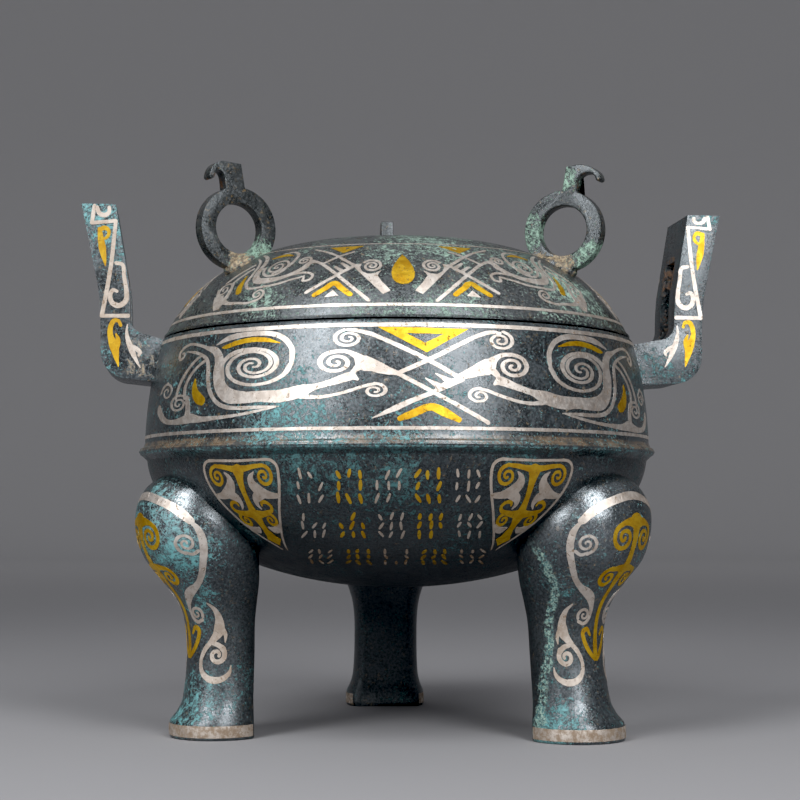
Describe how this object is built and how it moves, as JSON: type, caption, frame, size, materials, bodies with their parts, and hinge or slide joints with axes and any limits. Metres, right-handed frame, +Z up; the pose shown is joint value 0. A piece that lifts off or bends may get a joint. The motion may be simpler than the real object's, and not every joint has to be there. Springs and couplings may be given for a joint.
{
  "type": "bronze ding vessel",
  "caption": "Round lidded ding on three cabriole legs, with two upright loop ears and three ring knobs, dark patinated bronze with silver and gold inlay.",
  "frame": {"origin": "middle of the standing vessel's box, on the floor under the bowl", "axes": "+Z up, X through the two ears, -Y towards the front between the two front legs"},
  "size_m": [0.2116, 0.1738, 0.181],
  "materials": {
    "bronze_body": "dark blue-black patina with turquoise corrosion, half polished",
    "bronze_lid": "dark patina with pale green corrosion, half polished",
    "silver_inlay": "worn silver inlay, flush with the bronze",
    "gold_inlay": "worn gold inlay, flush with the bronze"
  },
  "bodies": {
    "root": {"vessel_body": "bronze_body", "lid": "bronze_lid"}
  },
  "joints": []
}
